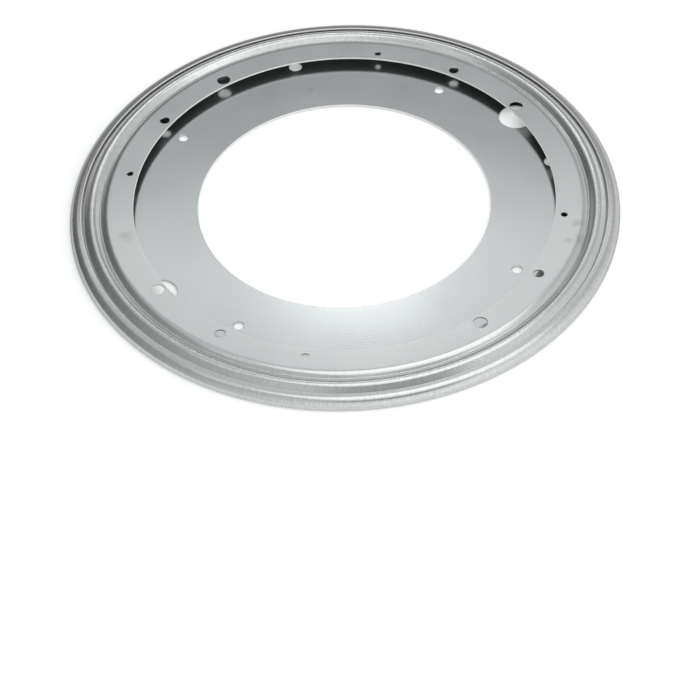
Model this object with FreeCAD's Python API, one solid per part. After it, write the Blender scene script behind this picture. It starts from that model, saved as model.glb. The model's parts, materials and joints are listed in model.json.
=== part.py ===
import FreeCAD, Part

import math
import os

# Lazy susan bearing: two pressed steel rings that turn on one row of balls. The lower plate's rim is
# rolled over the upper ring's flange, which holds the two together.
# Millimetres. The bearing rests on the bead of its lower plate at z = 0, with +Z up through its centre.
# +X runs through one of the lower plate's large screw holes.

# Overall sizes
outer_radius = 150.0
sheet = 0.9
bead_stand = 0.7

# Balls and their cage
ball_diameter = 6.0
ball_count = 48
race_clearance = 0.1
cage_thickness = 0.7
cage_side_gap = 0.85
pocket_clearance = 0.25

# Beads, which are the two halves of the ball race
bead_slack = 0.3
inner_flank = 0.85
outer_flank = 1.4
crease_clearance = 0.1
crease_bend = 1.1
shoulder_slope = 32.0
shoulder_bend = 6.0

# Flange of the upper ring, and the rolled rim of the lower plate that catches it. The flange and the lip
# over it slope down outwards together. The rim's wall leans in, and its upper bend takes up all of the
# wall but a short straight length.
flange_width = 2.85
flange_drop = 0.15
catch_gap = 0.45
lip_slope = 6.0
lip_side_gap = 0.65
rim_side_gap = 3.5
rim_lift = 0.3
rim_slope = 45.0
rim_foot_bend = 1.2
rim_base_bend = 0.65
rim_lean = 10.0
rim_straight = 0.3

# Flat bands that the screws hold
upper_band = 18.0
lower_band = 53.0

# Screw holes: four of each size, evenly round the ring. Angles are those of the first hole, from +X.
hole_count = 4
large_hole = 7.5
middle_hole = 5.5
small_hole = 3.5
upper_hole_margin = 1.25
upper_large_angle = 21.5
upper_middle_angle = 44.0
upper_small_angle = 66.5
lower_large_inset = 14.7
lower_middle_inset = 26.7
lower_middle_angle = 45.0

# Access holes, through which a driver reaches the upper ring's screws from below
access_hole = 19.0
access_count = 2
access_inset = 15.1
access_angle = 20.3

# Heights of the middle of each sheet, and of what lies between the two
ball_radius = ball_diameter / 2
ball_height = sheet + race_clearance + ball_radius
overall_height = 2 * ball_height
crease_rise = cage_thickness / 2 + crease_clearance + sheet / 2
lower_flat_height = bead_stand + sheet / 2
lower_crease_height = ball_height - crease_rise
upper_flat_height = overall_height - lower_flat_height
upper_crease_height = ball_height + crease_rise
flange_height = upper_crease_height - flange_drop
flange_fall = math.tan(math.radians(lip_slope))
lip_height = flange_height - lip_side_gap * flange_fall + sheet + catch_gap
rim_floor_height = rim_lift + sheet / 2

# Radii, worked out inwards from the outside of the rim
bead_bend = ball_radius + bead_slack + sheet / 2
flange_radius = outer_radius - sheet - rim_side_gap
outer_crease_radius = flange_radius - flange_width
race_radius = outer_crease_radius - bead_bend - outer_flank
inner_crease_radius = race_radius - bead_bend - inner_flank
upper_opening_radius = inner_crease_radius - upper_band
lower_opening_radius = inner_crease_radius - lower_band
upper_hole_circle = upper_opening_radius + upper_hole_margin + large_hole / 2

# How far inside a bead's top the middle of its arc lies
bead_depth = sheet / 2 + bead_bend


def turned(point, heading, distance):
    """The point that lies a distance from another along a heading, in a section's radius and height."""
    return (point[0] + distance * math.cos(heading), point[1] + distance * math.sin(heading))


def tangent_heading(point, centre, radius, side):
    """Heading of the line from a point that touches a circle, passing it on the side of +1 or -1."""
    across, up = centre[0] - point[0], centre[1] - point[1]
    return math.atan2(up, across) + side * math.asin(radius / math.hypot(across, up))


def crossing(first, first_heading, second, second_heading):
    """The point where two lines of a section cross."""
    across, up = second[0] - first[0], second[1] - first[1]
    reach = across * math.sin(second_heading) - up * math.cos(second_heading)
    return turned(first, first_heading, reach / math.sin(second_heading - first_heading))


def bead_corner(inner_crease, outer_crease, centre, side):
    """The corner between a bead's two flanks, which its arc then rounds."""
    inner = tangent_heading(inner_crease, centre, bead_bend, side)
    outer = tangent_heading(outer_crease, centre, bead_bend, -side)
    return crossing(inner_crease, inner, outer_crease, outer)


def offset_line(corners, shift):
    """Edges of the line that runs beside a bent sheet's middle line, a shift to its left.

    Each corner is (radius, height, bend): the middle line turns there on an arc of that radius. An arc's
    middle stays where it is, and its radius grows or shrinks by the shift."""
    points = [(radius, height) for radius, height, bend in corners]
    headings = [math.atan2(b[1] - a[1], b[0] - a[0]) for a, b in zip(points, points[1:])]
    edges = []
    last = turned(points[0], headings[0] + math.pi / 2, shift)
    for (radius, height, bend), before, after in zip(corners[1:-1], headings, headings[1:]):
        turn = math.remainder(after - before, 2 * math.pi)
        side = math.copysign(1.0, turn)
        start = turned((radius, height), before, -bend * math.tan(abs(turn) / 2))
        centre = turned(start, before + side * math.pi / 2, bend)
        arc = [
            turned(centre, before + share * turn - side * math.pi / 2, bend - side * shift)
            for share in (0.0, 0.5, 1.0)
        ]
        edges += straight(last, arc[0])
        edges.append(Part.Arc(*[section_point(place) for place in arc]).toShape())
        last = arc[-1]
    edges += straight(last, turned(points[-1], headings[-1] + math.pi / 2, shift))
    return edges


def section_point(place):
    """A section's radius and height as a point in space."""
    return FreeCAD.Vector(place[0], 0, place[1])


def straight(start, end):
    """The edge between two places of a section, or none where they are the same."""
    if math.dist(start, end) < 1e-6:
        return []
    return [Part.LineSegment(section_point(start), section_point(end)).toShape()]


def spun_sheet(corners):
    """A sheet bent along a middle line and spun round the Z axis, with its edges cut square."""
    left = offset_line(corners, sheet / 2)
    right = offset_line(corners, -sheet / 2)
    caps = [
        Part.LineSegment(left[end].Vertexes[end].Point, right[end].Vertexes[end].Point).toShape()
        for end in (0, -1)
    ]
    outline = Part.Wire(Part.__sortEdges__(left + right + caps))
    return Part.Face(outline).revolve(FreeCAD.Vector(0, 0, 0), FreeCAD.Vector(0, 0, 1), 360)


def around(radius, count, first_angle):
    """Places evenly round a circle, as points at height zero."""
    angles = [math.radians(first_angle + 360 * step / count) for step in range(count)]
    return [FreeCAD.Vector(radius * math.cos(a), radius * math.sin(a), 0) for a in angles]


def drills(diameter, radius, count, first_angle):
    """Upright cylinders through the whole bearing, one for each hole of a circle of holes."""
    places = around(radius, count, first_angle)
    return [Part.makeCylinder(diameter / 2, overall_height, place) for place in places]


def shoulder(crease_height, flat_height):
    """The corner where a flat band turns down or up to the inner crease."""
    run = abs(flat_height - crease_height) / math.tan(math.radians(shoulder_slope))
    return (inner_crease_radius - run, flat_height, shoulder_bend)


def upper_ring():
    """Flat screw band, shoulder, inner crease, raised bead, outer crease and flange."""
    inner_crease = (inner_crease_radius, upper_crease_height)
    outer_crease = (outer_crease_radius, flange_height)
    flange_edge = (flange_radius, flange_height - flange_width * flange_fall)
    bead_centre = (race_radius, overall_height - bead_depth)
    ring = spun_sheet([
        (upper_opening_radius, upper_flat_height, 0),
        shoulder(upper_crease_height, upper_flat_height),
        (*inner_crease, crease_bend),
        (*bead_corner(inner_crease, outer_crease, bead_centre, 1), bead_bend),
        (*outer_crease, crease_bend),
        (*flange_edge, 0),
    ])
    return ring.cut(
        drills(large_hole, upper_hole_circle, hole_count, upper_large_angle)
        + drills(middle_hole, upper_hole_circle, hole_count, upper_middle_angle)
        + drills(small_hole, upper_hole_circle, hole_count, upper_small_angle)
    )


def lower_plate():
    """Flat band, shoulder, inner crease, hanging bead, outer crease, and the rolled rim and its lip."""
    inner_crease = (inner_crease_radius, lower_crease_height)
    outer_crease = (outer_crease_radius, lower_crease_height)
    bead_centre = (race_radius, bead_depth)
    rim_drop = lower_crease_height - rim_floor_height
    rim_foot = outer_crease_radius + rim_drop / math.tan(math.radians(rim_slope))
    lip_end = (outer_crease_radius + lip_side_gap, lip_height)
    wall_heading = math.radians(90 + rim_lean)
    lip_heading = math.radians(180 - lip_slope)
    base_tangent = rim_base_bend * math.tan(wall_heading / 2)
    rim_base = (outer_radius - sheet / 2 - rim_base_bend + base_tangent, rim_floor_height)
    rim_top = crossing(rim_base, wall_heading, lip_end, lip_heading)
    bent_wall = math.dist(rim_base, rim_top) - base_tangent - rim_straight
    rim_top_bend = bent_wall / math.tan((lip_heading - wall_heading) / 2)
    plate = spun_sheet([
        (lower_opening_radius, lower_flat_height, 0),
        shoulder(lower_crease_height, lower_flat_height),
        (*inner_crease, crease_bend),
        (*bead_corner(inner_crease, outer_crease, bead_centre, -1), bead_bend),
        (*outer_crease, crease_bend),
        (rim_foot, rim_floor_height, rim_foot_bend),
        (*rim_base, rim_base_bend),
        (*rim_top, rim_top_bend),
        (*lip_end, 0),
    ])
    return plate.cut(
        drills(large_hole, inner_crease_radius - lower_large_inset, hole_count, 0)
        + drills(middle_hole, inner_crease_radius - lower_middle_inset, hole_count, lower_middle_angle)
        + drills(access_hole, inner_crease_radius - access_inset, access_count, access_angle)
    )


def ball_cage():
    """A flat ring between the two creases, with a round pocket for each ball."""
    inner = inner_crease_radius + cage_side_gap
    outer = outer_crease_radius - cage_side_gap
    base = FreeCAD.Vector(0, 0, ball_height - cage_thickness / 2)
    ring = Part.makeCylinder(outer, cage_thickness, base).cut(Part.makeCylinder(inner, cage_thickness, base))
    return ring.cut(drills(ball_diameter + 2 * pocket_clearance, race_radius, ball_count, 0))


def balls():
    """The balls, evenly round the race, each with its own name."""
    places = around(race_radius, ball_count, 0)
    lift = FreeCAD.Vector(0, 0, ball_height)
    return {
        f"ball_{number:02d}": Part.makeSphere(ball_radius, place + lift)
        for number, place in enumerate(places, start=1)
    }


nodes = {
    "upper_ring": upper_ring(),
    "lower_plate": lower_plate(),
    "ball_cage": ball_cage(),
    **balls(),
}

os.makedirs("parts", exist_ok=True)
for name, shape in nodes.items():
    shape.exportStep(f"parts/{name}.step")
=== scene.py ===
import json
import math

import bpy
import numpy as np
from mathutils import Matrix, Vector


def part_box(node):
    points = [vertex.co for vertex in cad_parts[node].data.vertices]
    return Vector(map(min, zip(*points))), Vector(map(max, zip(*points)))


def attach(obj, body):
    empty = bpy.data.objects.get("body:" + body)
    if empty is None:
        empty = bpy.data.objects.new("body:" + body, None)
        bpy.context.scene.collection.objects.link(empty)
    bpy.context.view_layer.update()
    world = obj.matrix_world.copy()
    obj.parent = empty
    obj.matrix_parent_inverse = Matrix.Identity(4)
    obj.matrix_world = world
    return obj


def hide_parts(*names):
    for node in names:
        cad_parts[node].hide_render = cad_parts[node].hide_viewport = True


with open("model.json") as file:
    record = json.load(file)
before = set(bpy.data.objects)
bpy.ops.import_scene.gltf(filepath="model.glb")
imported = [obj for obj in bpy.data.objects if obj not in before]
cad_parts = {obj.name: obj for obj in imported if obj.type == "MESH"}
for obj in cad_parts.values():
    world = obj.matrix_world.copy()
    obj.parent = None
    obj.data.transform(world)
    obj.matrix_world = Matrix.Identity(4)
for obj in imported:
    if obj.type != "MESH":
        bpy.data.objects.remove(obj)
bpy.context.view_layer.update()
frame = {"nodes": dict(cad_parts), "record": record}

# Lazy susan bearing: two galvanised steel pressings on a hidden row of balls.
# The two pressings are drawn again here from their sections, fine enough for their bends to shine evenly.
# Sections are in millimetres, as (radius, height, bend radius); everything that Blender gets is in metres.
MM = 0.001

# Sizes read from the frame
OUTER_RADIUS = (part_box("lower_plate")[1] / MM).x
OVERALL_HEIGHT = (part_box("upper_ring")[1] / MM).z
BALL_LOW, BALL_HIGH = (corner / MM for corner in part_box("ball_01"))
BALL_HEIGHT = OVERALL_HEIGHT / 2
RACE_RADIUS = (BALL_LOW.x + BALL_HIGH.x) / 2
BALL_RADIUS = (BALL_HIGH.x - BALL_LOW.x) / 2
PATTERNS = {mount["name"]: mount["dims"] for mount in frame["record"]["mounts"]}

# Sizes of the two sections
SHEET = 0.9
BEAD_STAND = 0.7
BEAD_SLACK = 0.3
INNER_FLANK, OUTER_FLANK = 0.85, 1.4
CREASE_CLEARANCE = 0.1
CAGE_THICKNESS = 0.7
CREASE_BEND = 1.1
SHOULDER_SLOPE = math.radians(32)
SHOULDER_BEND = 6.0
FLANGE_WIDTH = 2.85
FLANGE_DROP = 0.15
CATCH_GAP = 0.45
LIP_SLOPE = math.radians(6)
LIP_SIDE_GAP = 0.65
RIM_LIFT = 0.3
RIM_FOOT_BEND = 1.2
RIM_BASE_BEND = 0.65
RIM_LEAN = math.radians(10)
RIM_STRAIGHT = 0.3
UPPER_BAND = 18.0
LOWER_BAND = 53.0

# Rounding of the cut edges of the sheets and of their holes
CUT_EDGE = 0.22
HOLE_EDGE = 0.2

# Heights and radii that follow from them
LOWER_FLAT = BEAD_STAND + SHEET / 2
UPPER_FLAT = OVERALL_HEIGHT - LOWER_FLAT
CREASE_RISE = CAGE_THICKNESS / 2 + CREASE_CLEARANCE + SHEET / 2
LOWER_CREASE = BALL_HEIGHT - CREASE_RISE
UPPER_CREASE = BALL_HEIGHT + CREASE_RISE
FLANGE = UPPER_CREASE - FLANGE_DROP
FLANGE_FALL = math.tan(LIP_SLOPE)
LIP = FLANGE - LIP_SIDE_GAP * FLANGE_FALL + SHEET + CATCH_GAP
RIM_FLOOR = RIM_LIFT + SHEET / 2
BEAD_BEND = BALL_RADIUS + BEAD_SLACK + SHEET / 2
BEAD_DEPTH = BEAD_BEND + SHEET / 2
INNER_CREASE_RADIUS = RACE_RADIUS - BEAD_BEND - INNER_FLANK
OUTER_CREASE_RADIUS = RACE_RADIUS + BEAD_BEND + OUTER_FLANK

# Holes. The record's mounts give the screw holes' sizes, and these the angle of each circle's first hole,
# in degrees from +X. The access holes have no mount, so their radius, count, angle and inset are here.
RING_LARGE_ANGLE, RING_MIDDLE_ANGLE, RING_SMALL_ANGLE = 21.5, 44.0, 66.5
PLATE_LARGE_ANGLE, PLATE_MIDDLE_ANGLE = 0.0, 45.0
ACCESS_RADIUS, ACCESS_COUNT, ACCESS_ANGLE, ACCESS_INSET = 9.5, 2, 20.3, 15.1

# The band of each sheet that its holes are cut in: how far outside the ring's opening it begins, and how
# far inside the plate's inner crease
RING_HOLES_FROM_OPENING = 0.6
PLATE_HOLES_FROM_CREASE = 32

# Fineness of the drawn pressings: steps round the circle and across a flat band, the longest step and
# turn along a bend, the steps of a hole's rounded edge, the rows between a hole and the outline of its
# patch, and half a patch in steps of the circle; the millimetres under which two places of a line are one,
# and the decimals of a millimetre to which places of two grids must agree to meet
STEPS_ROUND = 432
STEPS_BAND = 14
ARC_STEP = 0.5
ARC_TURN = math.radians(10)
HOLE_EDGE_STEPS = 5
PATCH_ROWS = (1.0, 0.6, 0.3, 0.1)
PATCH_HALF = 8
SAME_PLACE = 1e-6
WELD_DECIMALS = 4


def turned(point, heading, distance):
    """The place a distance from another along a heading."""
    return (point[0] + distance * math.cos(heading), point[1] + distance * math.sin(heading))


def crossing(first, first_heading, second, second_heading):
    """The place where two lines of a section cross."""
    across, up = second[0] - first[0], second[1] - first[1]
    reach = across * math.sin(second_heading) - up * math.cos(second_heading)
    return turned(first, first_heading, reach / math.sin(second_heading - first_heading))


def bead_corner(inner, outer, centre, side):
    """Where a bead's two flanks would meet: the lines from both creases that touch the bead's circle."""
    headings = []
    for crease, way in ((inner, side), (outer, -side)):
        across, up = centre[0] - crease[0], centre[1] - crease[1]
        headings.append(math.atan2(up, across) + way * math.asin(BEAD_BEND / math.hypot(across, up)))
    return (*crossing(inner, headings[0], outer, headings[1]), BEAD_BEND)


def beside(corners, shift):
    """Corners of a bent sheet's face, a shift to the left of its middle line. Each is moved along the
    line that halves its turn, and its bend radius grows or shrinks by the shift."""
    points = np.array([corner[:2] for corner in corners])
    headings = np.arctan2(*np.diff(points, axis=0).T[::-1])
    turns = np.r_[0, np.remainder(np.diff(headings) + math.pi, 2 * math.pi) - math.pi, 0]
    middles = np.r_[headings, headings[-1]] - turns / 2
    middles[0] = headings[0]
    moved = points + np.c_[-np.sin(middles), np.cos(middles)] * (shift / np.cos(turns / 2))[:, None]
    bends = [max(corner[2] - shift * math.copysign(1, turn), 0) for corner, turn in zip(corners, turns)]
    return [(*place, bend) for place, bend in zip(moved, bends)]


def rounded(corners):
    """Rows of radius, height and outward normal along a line whose corners are arcs. Each arc touches
    both of its straight runs, and its normal turns evenly with it."""
    rows = []
    points = np.array([corner[:2] for corner in corners])
    headings = np.arctan2(*np.diff(points, axis=0).T[::-1])
    rows.append([*points[0], -math.sin(headings[0]), math.cos(headings[0])])
    for corner, before, after in zip(corners[1:-1], headings, headings[1:]):
        turn = math.remainder(after - before, 2 * math.pi)
        side = math.copysign(1.0, turn)
        bend = corner[2]
        start = turned(corner, before, -bend * math.tan(abs(turn) / 2))
        centre = turned(start, before + side * math.pi / 2, bend)
        steps = max(math.ceil(abs(turn) * bend / ARC_STEP), math.ceil(abs(turn) / ARC_TURN))
        heading = before + turn * np.linspace(0, 1, steps + 1)
        place = np.array(centre) + bend * side * np.c_[np.sin(heading), -np.cos(heading)]
        rows.extend(np.c_[place, -np.sin(heading), np.cos(heading)])
    rows.append([*points[-1], -math.sin(headings[-1]), math.cos(headings[-1])])
    rows = np.array(rows, float)
    apart = np.r_[True, np.hypot(*np.diff(rows[:, :2], axis=0).T) > SAME_PLACE]
    return rows[apart]


def sheet_line(corners):
    """A sheet's whole face from the end of its flat band, out along its upper side, round the cut edge
    and back along its lower side."""
    upper, lower = beside(corners, SHEET / 2), beside(corners, -SHEET / 2)
    return rounded(upper[:-1] + [(*upper[-1][:2], CUT_EDGE), (*lower[-1][:2], CUT_EDGE)] + lower[-2::-1])


def opening_line(radius, band_start, height):
    """A sheet's cut edge round its opening, from the lower side of the flat band to the upper side."""
    low, high = height - SHEET / 2, height + SHEET / 2
    return rounded([
        (band_start, low, 0),
        (radius, low, CUT_EDGE),
        (radius, high, CUT_EDGE),
        (band_start, high, 0),
    ])


def spun(line, steps=np.arange(STEPS_ROUND + 1)):
    """A grid of places and normals: a line turned round the Z axis to each step of the circle."""
    angle = 2 * math.pi * (steps % STEPS_ROUND) / STEPS_ROUND
    cos, sin = np.cos(angle)[None, :], np.sin(angle)[None, :]
    radius, height, out, up = (column[:, None] for column in line.T)
    flat = np.ones_like(cos)
    place = np.stack([radius * cos, radius * sin, height * flat], axis=-1)
    normal = np.stack([out * cos, out * sin, up * flat], axis=-1)
    return place, normal


def flat_line(start, end, height, up):
    """A straight line across a flat band, in even steps, with its normal up or down."""
    radius = np.linspace(start, end, STEPS_BAND + 1)
    return np.c_[radius, np.full_like(radius, height), np.zeros_like(radius), np.full_like(radius, up)]


def sector_outline(start, end, steps):
    """Places round the outline of a sector of a flat band: along its inner arc, out along its last radius,
    back along its outer arc and in along its first radius."""
    radii = np.linspace(start, end, STEPS_BAND + 1)[:, None]
    turn = 2 * math.pi * (steps % STEPS_ROUND) / STEPS_ROUND
    arc = np.c_[np.cos(turn), np.sin(turn)]
    return np.concatenate([arc * start, radii[1:] * arc[-1], arc[-2::-1] * end, radii[-2::-1] * arc[0]])


def hole_patch(start, end, height, circle, radius, angle):
    """The flat band round one hole, on both sides of the sheet, and the hole's wall.

    Columns run round the outline of a sector, and each meets the hole where a line from the outline to
    the hole's centre does. Rows run from the upper outline in to the hole, round its rolled edge, down
    its wall and out again below: between hole and outline a place is a mix of the two."""
    middle = round(angle / 360 * STEPS_ROUND)
    outline = sector_outline(start, end, np.arange(middle - PATCH_HALF, middle + PATCH_HALF + 1))
    centre = circle * np.array([math.cos(math.radians(angle)), math.sin(math.radians(angle))])
    way = outline - centre
    way /= np.hypot(*way.T)[:, None]
    edge = centre + way * (radius + HOLE_EDGE)
    high, low = height + SHEET / 2, height - SHEET / 2
    upper = [(edge + (outline - edge) * mix, high, 0.0, 1.0) for mix in PATCH_ROWS]
    lower = [(edge + (outline - edge) * mix, low, 0.0, -1.0) for mix in PATCH_ROWS[::-1]]
    wall = []
    for roll in np.radians(np.linspace(90, 0, HOLE_EDGE_STEPS)):
        out, up = math.cos(roll), math.sin(roll)
        wall.append((centre + way * (radius + HOLE_EDGE * (1 - out)), HOLE_EDGE * (1 - up), out, up))
    down = [(flat, high - drop, out, up) for flat, drop, out, up in wall]
    back = [(flat, low + drop, out, -up) for flat, drop, out, up in wall[::-1]]
    rows = upper + down + back + lower
    places = np.array([np.c_[flat, np.full(len(way), z)] for flat, z, out, up in rows])
    normals = np.array([np.c_[-way * out, np.full(len(way), up)] for flat, z, out, up in rows])
    return places, normals


def band_with_holes(start, end, height, holes):
    """Grids of a flat band between two radii: a patch for each hole, and plain stretches between them."""
    grids, taken = [], np.zeros(STEPS_ROUND, bool)
    for circle, radius, count, first in holes:
        for number in range(count):
            angle = first + 360 * number / count
            grids.append(hole_patch(start, end, height, circle, radius, angle))
            middle = round(angle / 360 * STEPS_ROUND)
            taken[np.arange(middle - PATCH_HALF, middle + PATCH_HALF) % STEPS_ROUND] = True
    first = int(np.argmax(taken))
    rolled = np.roll(taken, -first)
    bounds = np.flatnonzero(np.diff(np.r_[True, rolled, True].astype(int)))
    for begin, finish in zip(bounds[::2], bounds[1::2]):
        steps = np.arange(begin, finish + 1) + first
        for shift, up in ((SHEET / 2, 1.0), (-SHEET / 2, -1.0)):
            grids.append(spun(flat_line(start, end, height + shift, up), steps))
    return grids


def joined_mesh(name, grids):
    """One closed mesh from grids of places and normals. Places that meet become one vertex, and each face
    is turned to agree with its normals."""
    places, normals, faces, count = [], [], [], 0
    for place, normal in grids:
        rows, columns = place.shape[:2]
        index = count + np.arange(rows * columns).reshape(rows, columns)
        squares = [index[:-1, :-1], index[:-1, 1:], index[1:, 1:], index[1:, :-1]]
        faces.append(np.stack(squares, -1).reshape(-1, 4))
        places.append(place.reshape(-1, 3))
        normals.append(normal.reshape(-1, 3))
        count += rows * columns
    places, normals, faces = np.concatenate(places), np.concatenate(normals), np.concatenate(faces)
    welded = np.round(places, WELD_DECIMALS)
    first, merged = np.unique(welded, axis=0, return_index=True, return_inverse=True)[1:]
    places, normals, faces = places[first] * MM, normals[first], merged.reshape(-1)[faces]
    corners = places[faces]
    facing = np.cross(corners[:, 2] - corners[:, 0], corners[:, 3] - corners[:, 1])
    inward = (facing * normals[faces].sum(1)).sum(1) < 0
    faces[inward] = faces[inward, ::-1]
    mesh = bpy.data.meshes.new(name)
    mesh.from_pydata(places, [], faces)
    mesh.polygons.foreach_set("use_smooth", np.ones(len(faces), bool))
    mesh.normals_split_custom_set_from_vertices(normals)
    piece = bpy.data.objects.new(name, mesh)
    bpy.context.scene.collection.objects.link(piece)
    return piece


def pattern(mount, first):
    """A record's circle of screw holes, as circle radius, hole radius, count and first angle."""
    dims = PATTERNS[mount]
    return (dims["pcd_mm"] / 2, dims["hole_r_mm"], dims["count"], first)


def shoulder(flat, crease):
    """The corner where a flat band bends towards its crease."""
    return (INNER_CREASE_RADIUS - abs(flat - crease) / math.tan(SHOULDER_SLOPE), flat, SHOULDER_BEND)


def band_end(corner):
    """The radius where a shoulder's bend begins and the flat band ends."""
    return corner[0] - (SHOULDER_BEND + SHEET) * math.tan(SHOULDER_SLOPE / 2)


def draw_upper_ring():
    """Flat screw band, shoulder, crease, raised bead, crease and flange, spun round the axis."""
    inner, outer = (INNER_CREASE_RADIUS, UPPER_CREASE), (OUTER_CREASE_RADIUS, FLANGE)
    bend = shoulder(UPPER_FLAT, UPPER_CREASE)
    opening_radius = INNER_CREASE_RADIUS - UPPER_BAND
    start, end = opening_radius + RING_HOLES_FROM_OPENING, band_end(bend)
    section = [
        (end, UPPER_FLAT, 0),
        bend,
        (*inner, CREASE_BEND),
        bead_corner(inner, outer, (RACE_RADIUS, OVERALL_HEIGHT - BEAD_DEPTH), 1),
        (*outer, CREASE_BEND),
        (OUTER_CREASE_RADIUS + FLANGE_WIDTH, FLANGE - FLANGE_WIDTH * FLANGE_FALL, 0),
    ]
    holes = [
        pattern("upper_screws_large", RING_LARGE_ANGLE),
        pattern("upper_screws_middle", RING_MIDDLE_ANGLE),
        pattern("upper_screws_small", RING_SMALL_ANGLE),
    ]
    opening = opening_line(opening_radius, start, UPPER_FLAT)
    grids = [spun(sheet_line(section)), spun(opening)] + band_with_holes(start, end, UPPER_FLAT, holes)
    return joined_mesh("upper_ring_pressing", grids)


def rolled_rim():
    """The rim's base bend, the bend that leads its leaning wall over into the lip, and the lip's end."""
    wall, lip = math.radians(90) + RIM_LEAN, math.radians(180) - LIP_SLOPE
    lip_end = (OUTER_CREASE_RADIUS + LIP_SIDE_GAP, LIP)
    base_tangent = RIM_BASE_BEND * math.tan(wall / 2)
    base = (OUTER_RADIUS - SHEET / 2 - RIM_BASE_BEND + base_tangent, RIM_FLOOR)
    top = crossing(base, wall, lip_end, lip)
    bend = (math.dist(base, top) - base_tangent - RIM_STRAIGHT) / math.tan((lip - wall) / 2)
    return [(*base, RIM_BASE_BEND), (*top, bend), (*lip_end, 0)]


def draw_lower_plate():
    """Flat band, shoulder, crease, hanging bead, crease, and the rim rolled up and over, spun round."""
    inner, outer = (INNER_CREASE_RADIUS, LOWER_CREASE), (OUTER_CREASE_RADIUS, LOWER_CREASE)
    bend = shoulder(LOWER_FLAT, LOWER_CREASE)
    start, end = INNER_CREASE_RADIUS - PLATE_HOLES_FROM_CREASE, band_end(bend)
    section = [
        (end, LOWER_FLAT, 0),
        bend,
        (*inner, CREASE_BEND),
        bead_corner(inner, outer, (RACE_RADIUS, BEAD_DEPTH), -1),
        (*outer, CREASE_BEND),
        (OUTER_CREASE_RADIUS + LOWER_CREASE - RIM_FLOOR, RIM_FLOOR, RIM_FOOT_BEND),
        *rolled_rim(),
    ]
    holes = [
        pattern("lower_screws_large", PLATE_LARGE_ANGLE),
        pattern("lower_screws_middle", PLATE_MIDDLE_ANGLE),
        (INNER_CREASE_RADIUS - ACCESS_INSET, ACCESS_RADIUS, ACCESS_COUNT, ACCESS_ANGLE),
    ]
    opening = opening_line(INNER_CREASE_RADIUS - LOWER_BAND, start, LOWER_FLAT)
    grids = [spun(sheet_line(section)), spun(opening)] + band_with_holes(start, end, LOWER_FLAT, holes)
    return joined_mesh("lower_plate_pressing", grids)


# Zinc of each pressing: pale and dark tone of its clouds, roughness, how much shines as bare metal, and the
# tint of light that grazes it
RING_ZINC, PLATE_ZINC = ("#CCCFCE", "#C4C7C6"), ("#C3C6C6", "#BBBEBE")
RING_ROUGHNESS, PLATE_ROUGHNESS = 0.235, 0.2
RING_METAL, PLATE_METAL = 0.94, 0.96
RING_GRAZING, PLATE_GRAZING = "#FFFFFF", "#AFAFAF"

# Patterns of the zinc in millimetres, how much of its tone is grain, how far its roughness varies, and the
# range of a noise that runs from one tone to the other. The grain of rolled sheet is too fine to show here,
# so it is drawn many times as wide.
CLOUD_SIZE = 45
GRAIN_WIDTH, GRAIN_LENGTH = 1.8, 40
GRAIN_SHARE = 0.35
ROUGHNESS_SPREAD = 0.01
NOISE_LOW, NOISE_HIGH = 0.3, 0.7

# Worked zinc: the radii between which it begins on each pressing, its two tones, how much less of it shines
# as metal, its roughness, and the tool's marks in millimetres, with the range of their noise that runs from
# one tone to the other. The marks too are drawn wider than they are.
RING_WORKED, RIM_WORKED = (129.5, 131.5), (143.3, 144.0)
WORKED_ZINC = ("#BFC0BF", "#CFD0CE")
WORKED_DULL = 0.08
WORKED_ROUGHNESS = 0.22
MARK_WIDTH, MARK_LENGTH = 0.35, 3.0
MARK_STRENGTH, MARK_DEPTH = 0.14, 0.05
MARK_LOW, MARK_HIGH = 0.35, 0.65

# Sheared edges: how far each reaches from its middle, and their near-white colour, partly their bright bare
# steel, which scatters the light, and partly a painted highlight line
EDGE_REACH = 0.5
EDGE_STEEL_AND_HIGHLIGHT = "#F4F4F2"
EDGE_METAL = 0.0

# Smudges from handling, each as radius, angle in degrees and reach; the size of their ragged outline and
# how far it strays, how strong they are at most, and their colour
RING_SMUDGES = [(128.5, -26.0, 5.0), (131.0, -31.0, 5.0), (124.5, -32.5, 3.6), (121.0, -180.0, 5.5)]
PLATE_SMUDGES = [(100.3, 56.5, 2.2), (95.0, 87.7, 2.2)]
SMUDGE_GRAIN, SMUDGE_RAG = 5.0, 8.0
SMUDGE_SHARE = 0.3
SMUDGE_COLOUR = "#86837D"

# The cage's nylon and the balls' steel
NYLON_COLOURS, NYLON_CLOUD = ("#D9D5C6", "#E6E3D8"), 6
NYLON_ROUGHNESS, NYLON_IOR = 0.45, 1.53
BALL_COLOUR, BALL_HAZE = "#C4C4C2", 1.5
BALL_ROUGHNESS = (0.08, 0.18)


def linear(hex_colour):
    """An sRGB hex colour as linear red, green, blue and alpha."""
    channels = [int(hex_colour[i:i + 2], 16) / 255 for i in (1, 3, 5)]
    return (*[c / 12.92 if c <= 0.04045 else ((c + 0.055) / 1.055) ** 2.4 for c in channels], 1.0)


def new_material(name):
    """An empty node material, with its tree."""
    material = bpy.data.materials.new(name)
    material.use_nodes = True
    material.node_tree.nodes.clear()
    return material, material.node_tree


def add(tree, kind, sockets=None, **settings):
    """Adds a node with its settings; each socket gets a value, or a link from another node's output."""
    node = tree.nodes.new(kind)
    for key, value in settings.items():
        setattr(node, key, value)
    for key, value in (sockets or {}).items():
        if isinstance(value, bpy.types.NodeSocket):
            tree.links.new(value, node.inputs[key])
        else:
            node.inputs[key].default_value = value
    return node


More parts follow.
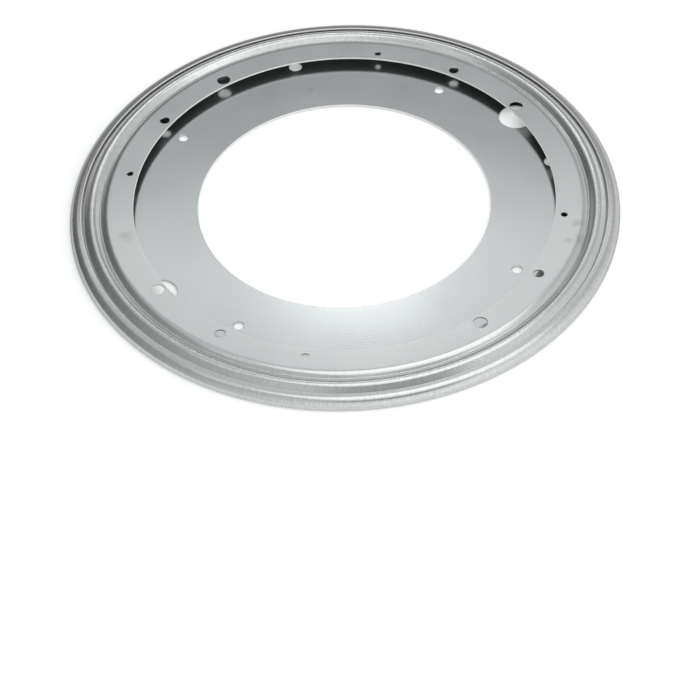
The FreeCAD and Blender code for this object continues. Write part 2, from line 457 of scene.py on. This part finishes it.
def near_edges(tree, place, radius, edges):
    """One on the sheared edges, each given as the radius and height of its middle, and zero elsewhere."""
    height = add(tree, "ShaderNodeSeparateXYZ", {0: place}).outputs["Z"]
    section = add(tree, "ShaderNodeCombineXYZ", {0: radius, 1: height}).outputs[0]
    share = 0.0
    for edge in edges:
        middle = (edge[0] * MM, edge[1] * MM, 0.0)
        away = add(tree, "ShaderNodeVectorMath", {0: section, 1: middle}, operation="DISTANCE")
        reached = {0: away.outputs["Value"], 1: EDGE_REACH * MM}
        near = add(tree, "ShaderNodeMath", reached, operation="LESS_THAN").outputs[0]
        share = add(tree, "ShaderNodeMath", {0: near, 1: share}, operation="ADD").outputs[0]
    return share


def smudged(tree, place, height, smudges):
    """How much of the colour is dirt: strongest in the middle of each smudge, with a ragged edge, and none
    past its reach."""
    lumps = {"Vector": place, "Scale": 1 / (SMUDGE_GRAIN * MM), "Detail": 3.0}
    stray = add(tree, "ShaderNodeTexNoise", lumps).outputs["Color"]
    rag = (SMUDGE_RAG * MM,) * 3
    strayed = {0: stray, 1: rag, 2: place}
    ragged = add(tree, "ShaderNodeVectorMath", strayed, operation="MULTIPLY_ADD").outputs[0]
    share = 0.0
    for radius, angle, reach in smudges:
        flat = turned((0.0, 0.0), math.radians(angle), radius)
        middle = [(value + SMUDGE_RAG / 2) * MM for value in (*flat, height)]
        away = add(tree, "ShaderNodeVectorMath", {0: ragged, 1: middle}, operation="DISTANCE")
        spot = add(tree, "ShaderNodeMapRange", {
            "Value": away.outputs["Value"],
            "From Min": 0.0,
            "From Max": reach * MM,
            "To Min": SMUDGE_SHARE,
            "To Max": 0.0,
        }, interpolation_type="SMOOTHSTEP").outputs[0]
        share = add(tree, "ShaderNodeMath", {0: share, 1: spot}, operation="MAXIMUM").outputs[0]
    return share


def rolled_zinc(tree, place, cloud, tones):
    """Colour of the zinc as the rolls left it: clouds that run from its dark tone to its pale one, streaked
    by the grain along the sheet."""
    tone = add(tree, "ShaderNodeMapRange", {
        "Value": cloud,
        "From Min": NOISE_LOW,
        "From Max": NOISE_HIGH,
        "To Min": -GRAIN_SHARE / 2,
        "To Max": 1 - GRAIN_SHARE / 2,
    }).outputs[0]
    width, length = 1 / (GRAIN_WIDTH * MM), 1 / (GRAIN_LENGTH * MM)
    along = add(tree, "ShaderNodeMapping", {"Vector": place, "Scale": (width, length, width)}).outputs[0]
    grain = add(tree, "ShaderNodeTexNoise", {"Vector": along, "Scale": 1.0, "Detail": 3.0}).outputs["Fac"]
    tone = add(tree, "ShaderNodeMath", {0: grain, 1: GRAIN_SHARE, 2: tone}, operation="MULTIPLY_ADD")
    pale, dark = tones
    mix = {"Fac": tone.outputs[0], "Color1": linear(dark), "Color2": linear(pale)}
    return add(tree, "ShaderNodeMixRGB", mix).outputs[0]


def tool_marks(tree, place, level):
    """Short marks across the bends: noise that is narrow round the rim and long across it."""
    spoke = add(tree, "ShaderNodeVectorMath", {0: level}, operation="NORMALIZE").outputs[0]
    often, long = OUTER_RADIUS / MARK_WIDTH, 1 / (MARK_LENGTH * MM)
    round_rim = add(tree, "ShaderNodeVectorMath", {0: spoke, "Scale": often}, operation="SCALE").outputs[0]
    across_rim = add(tree, "ShaderNodeVectorMath", {0: place, "Scale": long}, operation="SCALE").outputs[0]
    both = add(tree, "ShaderNodeVectorMath", {0: round_rim, 1: across_rim}, operation="ADD").outputs[0]
    return add(tree, "ShaderNodeTexNoise", {"Vector": both, "Scale": 1.0, "Detail": 2.0}).outputs["Fac"]


def worked_zinc(tree, marks):
    """Colour of the zinc where the tool pressed it: a darker and a paler tone in the marks."""
    worn = add(tree, "ShaderNodeMapRange", {"Value": marks, "From Min": MARK_LOW, "From Max": MARK_HIGH})
    dark, pale = WORKED_ZINC
    mix = {"Fac": worn.outputs[0], "Color1": linear(dark), "Color2": linear(pale)}
    return add(tree, "ShaderNodeMixRGB", mix).outputs[0]


def galvanised_steel(name, tones, roughness, metal, grazing, worked, edges, height, smudges):
    """Galvanised mild steel sheet, cold rolled and then pressed. The zinc is a pale grey with a breath of
    green, faintly clouded, and shines softly, as satin does. Where the sheet was worked, from the first of
    the two radii outwards, the tool has left the zinc a little warmer and duller, with short fine marks
    across the bends. The sheared edges are near white, partly bare steel and partly a painted highlight,
    as thin pale lines. Handling has left faint smudges on the flat band, which lies at the height given.
    The grazing tint is what the zinc, darkened by its oxide, gives back of light that strikes it at a low
    angle."""
    material, tree = new_material(name)
    place = add(tree, "ShaderNodeTexCoord").outputs["Object"]
    flattened = {0: place, 1: (1.0, 1.0, 0.0)}
    level = add(tree, "ShaderNodeVectorMath", flattened, operation="MULTIPLY").outputs[0]
    radius = add(tree, "ShaderNodeVectorMath", {0: level}, operation="LENGTH").outputs["Value"]
    begins = {"Value": radius, "From Min": worked[0] * MM, "From Max": worked[1] * MM}
    pressed = add(tree, "ShaderNodeMapRange", begins).outputs[0]
    clouds = {"Vector": place, "Scale": 1 / (CLOUD_SIZE * MM), "Detail": 3.0, "Roughness": 0.5}
    cloud = add(tree, "ShaderNodeTexNoise", clouds).outputs["Fac"]
    marks = tool_marks(tree, place, level)
    sheared = near_edges(tree, place, radius, edges)

    colour = rolled_zinc(tree, place, cloud, tones)
    for share, other in (
        (pressed, worked_zinc(tree, marks)),
        (smudged(tree, place, height, smudges), linear(SMUDGE_COLOUR)),
        # painted highlight: the sheared edges are coloured near white, partly for their bare steel and
        # partly as a painted highlight line
        (sheared, linear(EDGE_STEEL_AND_HIGHLIGHT)),
    ):
        colour = add(tree, "ShaderNodeMixRGB", {"Fac": share, "Color1": colour, "Color2": other}).outputs[0]

    dulled = add(tree, "ShaderNodeMath", {0: pressed, 1: -WORKED_DULL, 2: metal}, operation="MULTIPLY_ADD")
    shining = {"Value": sheared, "To Min": dulled.outputs[0], "To Max": EDGE_METAL}
    metallic = add(tree, "ShaderNodeMapRange", shining)
    rolled = add(tree, "ShaderNodeMapRange", {
        "Value": cloud,
        "From Min": NOISE_LOW,
        "From Max": NOISE_HIGH,
        "To Min": roughness - ROUGHNESS_SPREAD,
        "To Max": roughness + ROUGHNESS_SPREAD,
    }).outputs[0]
    rough = add(tree, "ShaderNodeMapRange", {"Value": pressed, "To Min": rolled, "To Max": WORKED_ROUGHNESS})
    strength = add(tree, "ShaderNodeMath", {0: pressed, 1: MARK_STRENGTH}, operation="MULTIPLY").outputs[0]
    bump = add(tree, "ShaderNodeBump", {"Height": marks, "Strength": strength, "Distance": MARK_DEPTH * MM})
    steel = add(tree, "ShaderNodeBsdfPrincipled", {
        "Base Color": colour,
        "Metallic": metallic.outputs[0],
        "Roughness": rough.outputs[0],
        "Normal": bump.outputs[0],
        "Specular Tint": linear(grazing),
    })
    add(tree, "ShaderNodeOutputMaterial", {"Surface": steel.outputs[0]})
    return material


def moulded_nylon():
    """Natural nylon, injection moulded: off-white, waxy and a little cloudy."""
    material, tree = new_material("nylon_natural_moulded")
    place = add(tree, "ShaderNodeTexCoord").outputs["Object"]
    clouds = {"Vector": place, "Scale": 1 / (NYLON_CLOUD * MM), "Detail": 3.0}
    cloud = add(tree, "ShaderNodeTexNoise", clouds).outputs["Fac"]
    dark, pale = NYLON_COLOURS
    colour = add(tree, "ShaderNodeMixRGB", {"Fac": cloud, "Color1": linear(dark), "Color2": linear(pale)})
    nylon = add(tree, "ShaderNodeBsdfPrincipled", {
        "Base Color": colour.outputs[0],
        "Roughness": NYLON_ROUGHNESS,
        "IOR": NYLON_IOR,
    })
    add(tree, "ShaderNodeOutputMaterial", {"Surface": nylon.outputs[0]})
    return material


def ground_ball_steel():
    """Bearing steel, ground and tumbled bright: a dark mirror with a trace of polishing haze."""
    material, tree = new_material("bearing_steel_polished")
    place = add(tree, "ShaderNodeTexCoord").outputs["Object"]
    smears = {"Vector": place, "Scale": 1 / (BALL_HAZE * MM), "Detail": 3.0}
    haze = add(tree, "ShaderNodeTexNoise", smears).outputs["Fac"]
    bright, dim = BALL_ROUGHNESS
    rough = add(tree, "ShaderNodeMapRange", {"Value": haze, "To Min": bright, "To Max": dim})
    ball = add(tree, "ShaderNodeBsdfPrincipled", {
        "Base Color": linear(BALL_COLOUR),
        "Metallic": 1.0,
        "Roughness": rough.outputs[0],
    })
    add(tree, "ShaderNodeOutputMaterial", {"Surface": ball.outputs[0]})
    return material


def give(piece, material):
    """Puts one material on a piece."""
    piece.data.materials.clear()
    piece.data.materials.append(material)


# The camera, from where the photograph was taken. Angles in degrees, the bearing's centre in pixels of a
# picture 700 pixels wide, and the lens as its focal length in the same pixels.
PICTURE = 700
FOCAL = 1997.0
ELEVATION = 43.51
AZIMUTH = 12.45
ROLL = -2.3
DISTANCE = 1.0948
CENTRE_X, CENTRE_Y = 344.31, 199.35
AIM_HEIGHT = 3.02 * MM
SENSOR = 36.0
CLIP_NEAR, CLIP_FAR = 0.05, 50

# The studio, with each direction as the camera's right, away and up: how strong it is on its dim side and
# its bright side, the glow of the ceiling beyond the bearing, the dark gap between the lamps, and the low
# glow of the backdrop beyond the bearing. A patch of light or dark is full within its inner angle and ends
# at its outer one, and the backdrop's glow fades out between two heights.
AIR_COLOUR = "#FBFDFF"
BRIGHT_SIDE = (0.62, -0.785, 0.0)
DIM_STRENGTH, BRIGHT_STRENGTH = 0.03, 1.34
GLOW_SIDE = (-0.1, 0.435, 0.895)
GLOW_STRENGTH = 0.36
GLOW_INNER, GLOW_OUTER = math.radians(18), math.radians(30)
GAP_SIDE = (0.2, -0.42, 0.885)
GAP_SHARE = 0.35
GAP_INNER, GAP_OUTER = math.radians(12), math.radians(22)
BACKDROP_SIDE = (0.12, 0.993, 0.0)
BACKDROP_STRENGTH = 0.5
BACKDROP_LOW, BACKDROP_HIGH = math.sin(math.radians(9)), math.sin(math.radians(27))
BACKDROP_INNER, BACKDROP_OUTER = math.radians(34), math.radians(60)

# The lamps, each as its name, its place and its size in metres, its turn in degrees and its radiance
SOFTBOXES = [
    ("softbox_over", (0.26, -0.06, 1.0), (0.9, 0.74), 29, 0.95),
    ("softbox_left", (-0.55, -0.12, 1.0), (0.3, 0.25), 0, 0.6),
    ("softbox_far", (0.08, 0.93, 1.0), (1.4, 0.24), 0, 0.75),
    ("softbox_strip", (0.01, 0.92, 0.97), (0.14, 0.12), 0, 3.7),
]

# The floor: how far it reaches, its paper, and the lift that keeps it white where it is seen or reflected
FLOOR_HALF = 6.0
PAPER_COLOUR, PAPER_LIGHT = "#F4F4F4", "#FFFFFF"
PAPER_ROUGHNESS, PAPER_SHINE = 0.9, 0.1
PAPER_LIFT = 0.27


def add_camera():
    """Looks past the bearing so that its centre falls on its own pixel: the view is first taken straight
    at the centre, rolled, then swung by the smallest turn that brings the centre to that pixel."""
    towards = Vector(((CENTRE_X - PICTURE / 2) / FOCAL, (CENTRE_Y - PICTURE / 2) / FOCAL, 1)).normalized()
    swing = Vector((0, 0, 1)).rotation_difference(towards).to_matrix()
    down, ahead = math.sin(math.radians(ELEVATION)), math.cos(math.radians(ELEVATION))
    straight = Matrix(((1, 0, 0), (0, -down, -ahead), (0, ahead, -down)))
    roll = Matrix.Rotation(math.radians(ROLL), 3, "Z")
    turn = Matrix.Rotation(math.radians(AZIMUTH), 3, "Z")
    seen = swing @ roll @ straight @ turn
    place = Vector((0, 0, AIM_HEIGHT)) - seen.transposed() @ (towards * DISTANCE)
    lens = bpy.data.cameras.new("camera")
    lens.sensor_width = SENSOR
    lens.lens = SENSOR * FOCAL / PICTURE
    lens.clip_start, lens.clip_end = CLIP_NEAR, CLIP_FAR
    camera = bpy.data.objects.new("camera", lens)
    flip = Matrix(((1, 0, 0), (0, -1, 0), (0, 0, -1)))
    camera.matrix_world = Matrix.Translation(place) @ (flip @ seen).transposed().to_4x4()
    bpy.context.scene.collection.objects.link(camera)
    bpy.context.scene.camera = camera


def beside_camera(right, away, up):
    """A place or direction given as the camera's right, away from the camera and up, in the row's axes."""
    return Matrix.Rotation(-math.radians(AZIMUTH), 3, "Z") @ Vector((right, away, up))


def add_softbox(name, place, size, turn, radiance):
    """A soft rectangular lamp that faces straight down, turned in degrees from the camera's right. Its
    power is its radiance over its area and the half sphere that it shines into."""
    lamp = bpy.data.lights.new(name, "AREA")
    lamp.shape = "RECTANGLE"
    lamp.size, lamp.size_y = size
    lamp.energy = math.pi * radiance * size[0] * size[1]
    box = bpy.data.objects.new(name, lamp)
    box.location = beside_camera(*place)
    box.rotation_euler = (0, 0, math.radians(turn - AZIMUTH))
    bpy.context.scene.collection.objects.link(box)


def soft_patch(tree, direction, way, inner, outer, outside, inside):
    """A value over the studio that is one number outside a round patch and another inside it, with a soft
    edge between the inner and the outer angle from the patch's middle."""
    facing = {0: direction, 1: beside_camera(*way)}
    near = add(tree, "ShaderNodeVectorMath", facing, operation="DOT_PRODUCT").outputs["Value"]
    return add(tree, "ShaderNodeMapRange", {
        "Value": near,
        "From Min": math.cos(outer),
        "From Max": math.cos(inner),
        "To Min": outside,
        "To Max": inside,
    }, interpolation_type="SMOOTHSTEP").outputs[0]


def add_world():
    """The studio round the bearing: dark at the camera's left and beyond the bearing and bright at its
    right, with a dark gap above the camera, a glow on the ceiling beyond the bearing, and a low glow of the
    backdrop there that fades out upwards."""
    world = bpy.data.worlds.new("studio")
    bpy.context.scene.world = world
    world.use_nodes = True
    tree = world.node_tree
    tree.nodes.clear()
    direction = add(tree, "ShaderNodeTexCoord").outputs["Generated"]
    facing = {0: direction, 1: beside_camera(*BRIGHT_SIDE)}
    rightness = add(tree, "ShaderNodeVectorMath", facing, operation="DOT_PRODUCT").outputs["Value"]
    side = add(tree, "ShaderNodeMapRange", {
        "Value": rightness,
        "From Min": -1.0,
        "To Min": DIM_STRENGTH,
        "To Max": BRIGHT_STRENGTH,
    }).outputs[0]
    gap = soft_patch(tree, direction, GAP_SIDE, GAP_INNER, GAP_OUTER, 1.0, GAP_SHARE)
    glow = soft_patch(tree, direction, GLOW_SIDE, GLOW_INNER, GLOW_OUTER, 0.0, GLOW_STRENGTH)
    behind = soft_patch(tree, direction, BACKDROP_SIDE, BACKDROP_INNER, BACKDROP_OUTER, 0.0, 1.0)
    height = add(tree, "ShaderNodeSeparateXYZ", {0: direction}).outputs["Z"]
    low = add(tree, "ShaderNodeMapRange", {
        "Value": height,
        "From Min": BACKDROP_LOW,
        "From Max": BACKDROP_HIGH,
        "To Min": BACKDROP_STRENGTH,
        "To Max": 0.0,
    }, interpolation_type="SMOOTHSTEP").outputs[0]
    ceiling = add(tree, "ShaderNodeMath", {0: side, 1: gap, 2: glow}, operation="MULTIPLY_ADD")
    backdrop = {0: low, 1: behind, 2: ceiling.outputs[0]}
    strength = add(tree, "ShaderNodeMath", backdrop, operation="MULTIPLY_ADD")
    air = add(tree, "ShaderNodeBackground", {"Color": linear(AIR_COLOUR), "Strength": strength.outputs[0]})
    add(tree, "ShaderNodeOutputWorld", {"Surface": air.outputs[0]})


def add_floor():
    """A plain pale sheet of paper that the bearing lies on. What the camera and the metal see of it is
    lifted towards white, and the light that it gives the bearing is not."""
    near, far = -FLOOR_HALF, FLOOR_HALF
    mesh = bpy.data.meshes.new("floor")
    mesh.from_pydata([(near, near, 0), (far, near, 0), (far, far, 0), (near, far, 0)], [], [(0, 1, 2, 3)])
    floor = bpy.data.objects.new("floor", mesh)
    material, tree = new_material("paper_white_matt")
    seen = add(tree, "ShaderNodeLightPath").outputs
    two = add(tree, "ShaderNodeMath", {0: seen["Is Camera Ray"], 1: seen["Is Glossy Ray"]}, operation="ADD")
    passing = {0: two.outputs[0], 1: seen["Is Transmission Ray"]}
    all_three = add(tree, "ShaderNodeMath", passing, operation="ADD")
    lifted = {0: all_three.outputs[0], 1: PAPER_LIFT}
    lift = add(tree, "ShaderNodeMath", lifted, operation="MULTIPLY", use_clamp=True)
    paper = add(tree, "ShaderNodeBsdfPrincipled", {
        "Base Color": linear(PAPER_COLOUR),
        "Roughness": PAPER_ROUGHNESS,
        "Specular IOR Level": PAPER_SHINE,
        "Emission Color": linear(PAPER_LIGHT),
        "Emission Strength": lift.outputs[0],
    })
    add(tree, "ShaderNodeOutputMaterial", {"Surface": paper.outputs[0]})
    mesh.materials.append(material)
    bpy.context.scene.collection.objects.link(floor)


def dress():
    """The two fine pressings in place of their nodes, and a finish on every other node."""
    ring, plate = draw_upper_ring(), draw_lower_plate()
    ring_edges = [(INNER_CREASE_RADIUS - UPPER_BAND, UPPER_FLAT)]
    plate_edges = [(INNER_CREASE_RADIUS - LOWER_BAND, LOWER_FLAT), rolled_rim()[-1]]
    give(ring, galvanised_steel(
        "galvanised_steel_ring", RING_ZINC, RING_ROUGHNESS, RING_METAL, RING_GRAZING,
        RING_WORKED, ring_edges, UPPER_FLAT, RING_SMUDGES,
    ))
    give(plate, galvanised_steel(
        "galvanised_steel_plate", PLATE_ZINC, PLATE_ROUGHNESS, PLATE_METAL, PLATE_GRAZING,
        RIM_WORKED, plate_edges, LOWER_FLAT, PLATE_SMUDGES,
    ))
    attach(ring, "ring")
    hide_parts("upper_ring")
    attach(plate, "plate")
    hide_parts("lower_plate")
    nylon, bright = moulded_nylon(), ground_ball_steel()
    for name, node in frame["nodes"].items():
        if name == "ball_cage":
            give(node, nylon)
        elif name.startswith("ball_"):
            give(node, bright)


def main():
    """Sets the stage and dresses the bearing."""
    add_camera()
    add_world()
    add_floor()
    for softbox in SOFTBOXES:
        add_softbox(*softbox)
    dress()
    bpy.context.scene.view_settings.view_transform = "Standard"


main()
